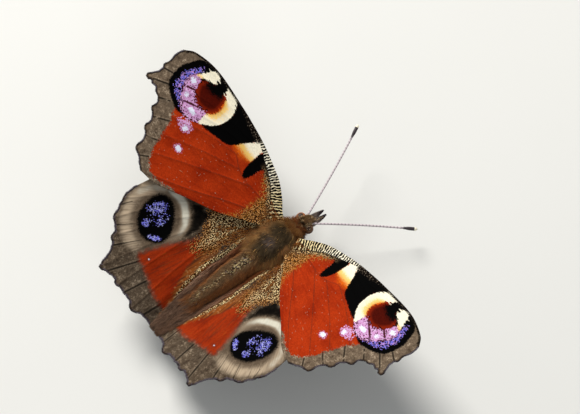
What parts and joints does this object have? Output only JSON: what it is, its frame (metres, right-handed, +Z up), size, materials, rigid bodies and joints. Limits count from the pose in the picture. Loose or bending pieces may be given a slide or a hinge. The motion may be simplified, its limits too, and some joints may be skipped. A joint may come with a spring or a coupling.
{
  "type": "peacock butterfly, still life-size model",
  "caption": "Basking peacock butterfly with its wings spread in a shallow V, standing on its walking legs, feelers forward.",
  "frame": {"origin": "on the floor, under the middle of the butterfly's box", "axes": "+X to the butterfly's right, across its spread wings; +Y towards its head; +Z up from the floor it stands on"},
  "size_m": [0.0616, 0.047, 0.0197],
  "materials": {
    "forewing": "rust-red scales, brown-grey margin, eyespot, raised veins",
    "hindwing": "rust-red and brown-grey scales, blue and black eyespot, hairy base",
    "thorax": "golden-brown hair",
    "abdomen": "dark brown scales and hair in rings",
    "head": "rusty brown bristles",
    "eye": "dark brown faceted eye",
    "palp": "dark brown bristles",
    "proboscis": "smooth brown, coiled",
    "antenna": "grey-brown shaft with pale rings, dark club with a cream tip",
    "leg": "brown scales, spined"
  },
  "bodies": {
    "root": {"abdomen": "abdomen", "antenna_left": "antenna", "antenna_right": "antenna", "eye_left": "eye", "eye_right": "eye", "foreleg_left": "leg", "foreleg_right": "leg", "forewing_left": "forewing", "forewing_right": "forewing", "head": "head", "hindleg_left": "leg", "hindleg_right": "leg", "hindwing_left": "hindwing", "hindwing_right": "hindwing", "midleg_left": "leg", "midleg_right": "leg", "palp_left": "palp", "palp_right": "palp", "proboscis": "proboscis", "thorax": "thorax"}
  },
  "joints": []
}
